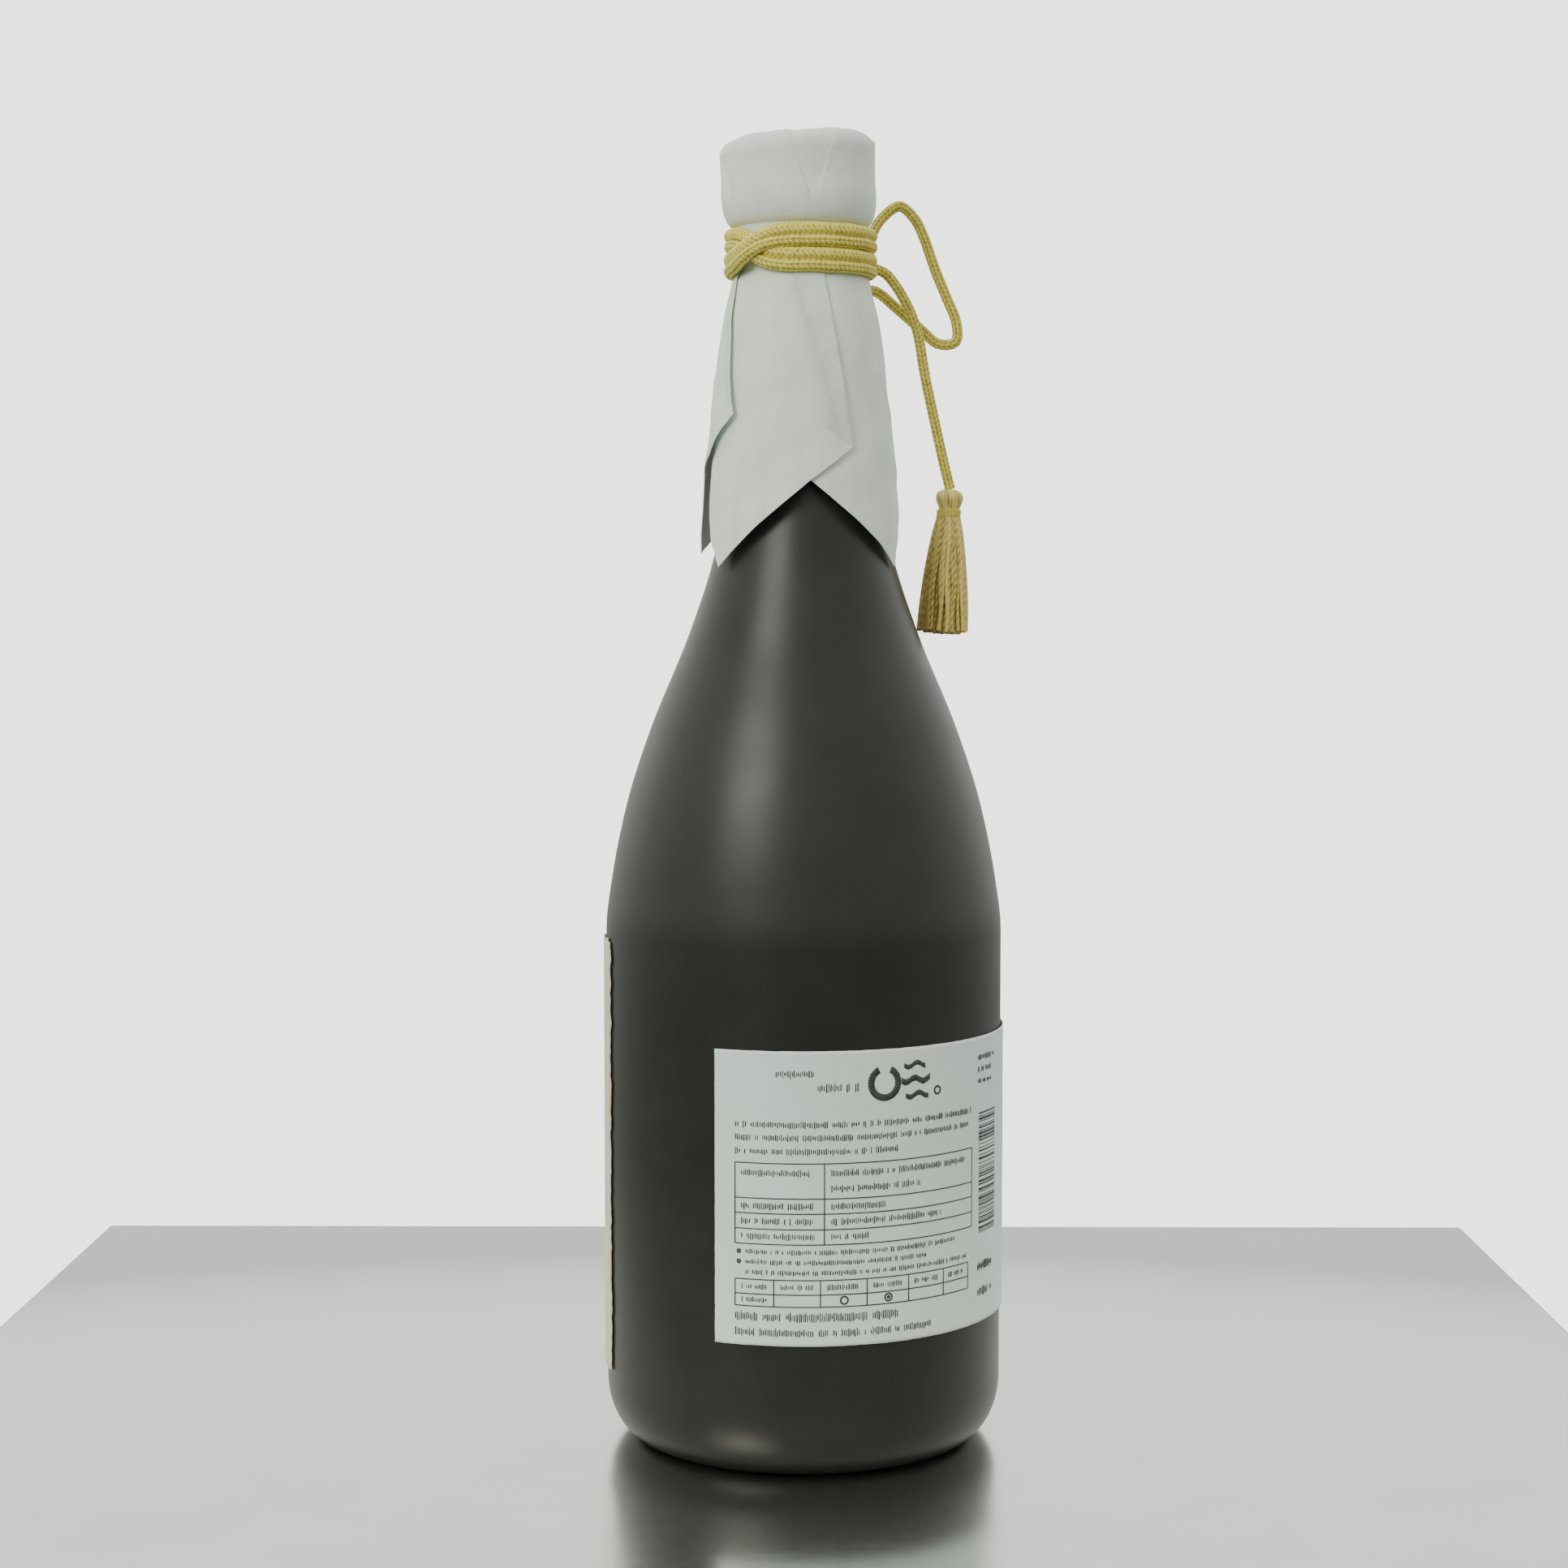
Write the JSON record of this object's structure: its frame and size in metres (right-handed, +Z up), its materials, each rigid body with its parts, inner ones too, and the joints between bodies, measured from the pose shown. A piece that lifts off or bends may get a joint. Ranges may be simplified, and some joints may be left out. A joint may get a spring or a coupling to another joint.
{
  "type": "sake bottle",
  "caption": "Frosted dark glass sake bottle with a pull-out stopper under a tied paper hood, a tasselled cord and two plain labels.",
  "frame": {"origin": "centre of the base, on the surface the bottle stands on", "axes": "+Z up along the bottle's axis; -Y is the side seen in the main view, where the back label begins; +X is to the right of that view, where the near tassel hangs"},
  "size_m": [0.086, 0.086, 0.2786],
  "materials": {
    "frosted_glass": "acid-frosted, near-black, satin",
    "back_label_paper": "coated label paper, satin",
    "front_label_washi": "handmade paper with torn edges, matte",
    "white_polyethylene": "moulded, satin",
    "black_plastic": "moulded, gloss",
    "washi": "soft pale paper, matte",
    "cord": "braided old-gold cord",
    "yellow_thread": "wound thread, slight sheen",
    "tassel_floss": "twisted rayon floss, silky"
  },
  "bodies": {
    "bottle": {"bottle": "frosted_glass", "back_label": "back_label_paper", "front_label": "front_label_washi"},
    "closure": {"stopper_plug": "white_polyethylene", "stopper_head": "black_plastic", "paper_hood": "washi", "lower_neck_wrap": "cord", "upper_neck_wrap": "cord", "bow_knot": "cord", "near_bow_loop": "cord", "far_bow_loop": "cord"},
    "near_tail": {"near_cord_tail": "cord"},
    "near_tassel": {"near_tassel_head": "cord", "near_tassel_binding": "yellow_thread", "near_tassel_skirt": "tassel_floss"},
    "far_tail": {"far_cord_tail": "cord"},
    "far_tassel": {"far_tassel_head": "cord", "far_tassel_binding": "yellow_thread", "far_tassel_skirt": "tassel_floss"}
  },
  "joints": [
    {"name": "stopper_lift", "type": "slide", "parent": "bottle", "child": "closure", "axis": [0, 0, 1], "range_m": [0, 0.09]},
    {"name": "near_tail_swing", "type": "hinge", "parent": "closure", "child": "near_tail", "pos_m": [0.0153, 0.0144, 0.252], "axis": [1, 0, 0], "range_deg": [-25, 6]},
    {"name": "near_tassel_swing", "type": "hinge", "parent": "near_tail", "child": "near_tassel", "pos_m": [0.032, 0.0145, 0.2042], "axis": [0, -1, 0], "range_deg": [0, 40]},
    {"name": "far_tail_swing", "type": "hinge", "parent": "closure", "child": "far_tail", "pos_m": [0.0103, 0.01784, 0.2464], "axis": [0.866, -0.5, 0], "range_deg": [0, 35]},
    {"name": "far_tassel_swing", "type": "hinge", "parent": "far_tail", "child": "far_tassel", "pos_m": [0.01235, 0.02139, 0.2042], "axis": [0.866, -0.5, 0], "range_deg": [0, 25]}
  ]
}
